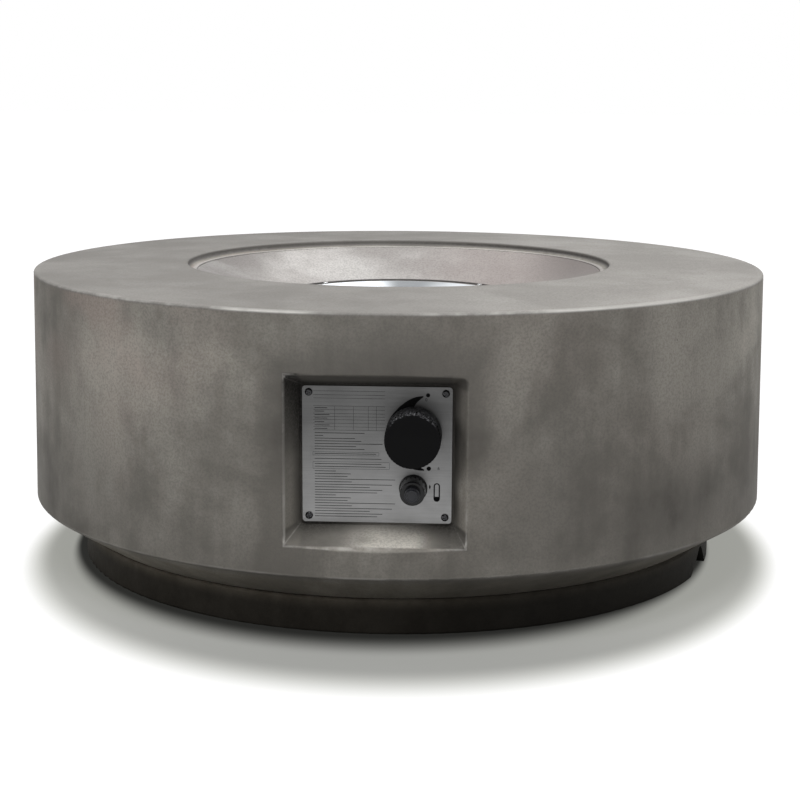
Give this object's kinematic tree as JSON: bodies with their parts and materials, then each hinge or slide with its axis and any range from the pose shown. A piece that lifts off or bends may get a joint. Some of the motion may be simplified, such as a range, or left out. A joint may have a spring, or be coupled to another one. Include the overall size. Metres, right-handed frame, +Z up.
{
  "type": "gas fire pit",
  "caption": "Squat round concrete gas fire pit with a dished burner bowl, an inset plinth and a recessed control panel with a push-and-turn valve knob and a push-button igniter.",
  "frame": {"origin": "on the floor under the centre of the drum", "axes": "+Z up; the control recess faces -Y; +X is to the right of a person facing the controls"},
  "size_m": [0.8204, 0.8202, 0.324],
  "materials": {
    "concrete": "matte",
    "plinth_concrete": "matte",
    "plate_steel": "satin",
    "pan_steel": "polished",
    "screw_steel": "satin",
    "brass": "satin",
    "mixer_metal": "matte",
    "tube_metal": "satin",
    "black_plastic": "satin",
    "cell_wrap": "satin",
    "seal_rubber": "matte",
    "spark_ceramic": "satin"
  },
  "bodies": {
    "fire_pit": {"air_mixer": "mixer_metal", "bracket_screws": "screw_steel", "burner_lock_nut": "screw_steel", "burner_nipple": "screw_steel", "burner_pan": "pan_steel", "burner_ring": "pan_steel", "burner_tube": "tube_metal", "control_plate": "plate_steel", "drum_casting": "concrete", "electrode_bracket": "screw_steel", "fire_bowl": "concrete", "flare_nuts": "brass", "igniter_body": "black_plastic", "igniter_cell": "cell_wrap", "igniter_nut": "black_plastic", "injector": "brass", "inlet_bracket": "screw_steel", "inlet_fitting": "brass", "inlet_lock_nut": "brass", "inlet_screws": "screw_steel", "magnet_nut": "brass", "mortar_bed": "plinth_concrete", "pan_screws": "screw_steel", "plate_gasket": "seal_rubber", "plate_inserts": "brass", "plate_screws": "screw_steel", "plinth_bolts": "screw_steel", "plinth_inserts": "screw_steel", "plinth_ring": "plinth_concrete", "plinth_washers": "screw_steel", "safety_magnet": "screw_steel", "spark_ceramic": "spark_ceramic", "spark_lead": "seal_rubber", "spark_wire": "screw_steel", "supply_tube": "tube_metal", "thermocouple": "screw_steel", "thermocouple_lead": "tube_metal", "valve_body": "brass", "valve_bonnet": "brass", "valve_screws": "screw_steel", "valve_spring": "screw_steel"},
    "push_carriage": {"push_rod": "screw_steel"},
    "knob": {"control_knob": "black_plastic", "knob_clip": "screw_steel", "valve_stem": "screw_steel"},
    "plug": {"valve_plug": "brass"},
    "contact": {"igniter_spring": "screw_steel"},
    "cap": {"igniter_cap": "black_plastic"},
    "button": {"igniter_button": "black_plastic"}
  },
  "joints": [
    {"name": "knob_push", "type": "slide", "parent": "fire_pit", "child": "push_carriage", "axis": [0, 1, 0], "range_m": [0, 0.0045], "stiffness_N_per_m": 600, "springref_m": -0.008, "deforming": ["valve_spring"]},
    {"name": "knob_turn", "type": "hinge", "parent": "push_carriage", "child": "knob", "pos_m": [0.0347, -0.3685, 0.2027], "axis": [0, -1, 0], "range_deg": [0, 222]},
    {"name": "plug_turn", "type": "hinge", "parent": "fire_pit", "child": "plug", "pos_m": [0.0347, -0.3685, 0.2027], "axis": [0, -1, 0], "range_deg": [0, 222]},
    {"name": "cap_out", "type": "slide", "parent": "fire_pit", "child": "contact", "axis": [0, -1, 0], "range_m": [0, 0.006]},
    {"name": "cap_unscrew", "type": "hinge", "parent": "contact", "child": "cap", "pos_m": [0.0343, -0.3685, 0.1494], "axis": [0, -1, 0], "range_deg": [0, 1080]},
    {"name": "button_press", "type": "slide", "parent": "cap", "child": "button", "axis": [0, 1, 0], "range_m": [0, 0.003], "stiffness_N_per_m": 400, "springref_m": -0.004, "deforming": ["igniter_spring"]}
  ],
  "couplings": [
    {"joint": "plug_turn", "follows": "knob_turn", "ratio": 1},
    {"joint": "cap_out", "follows": "cap_unscrew", "m_per_rad": 0.0003183}
  ]
}
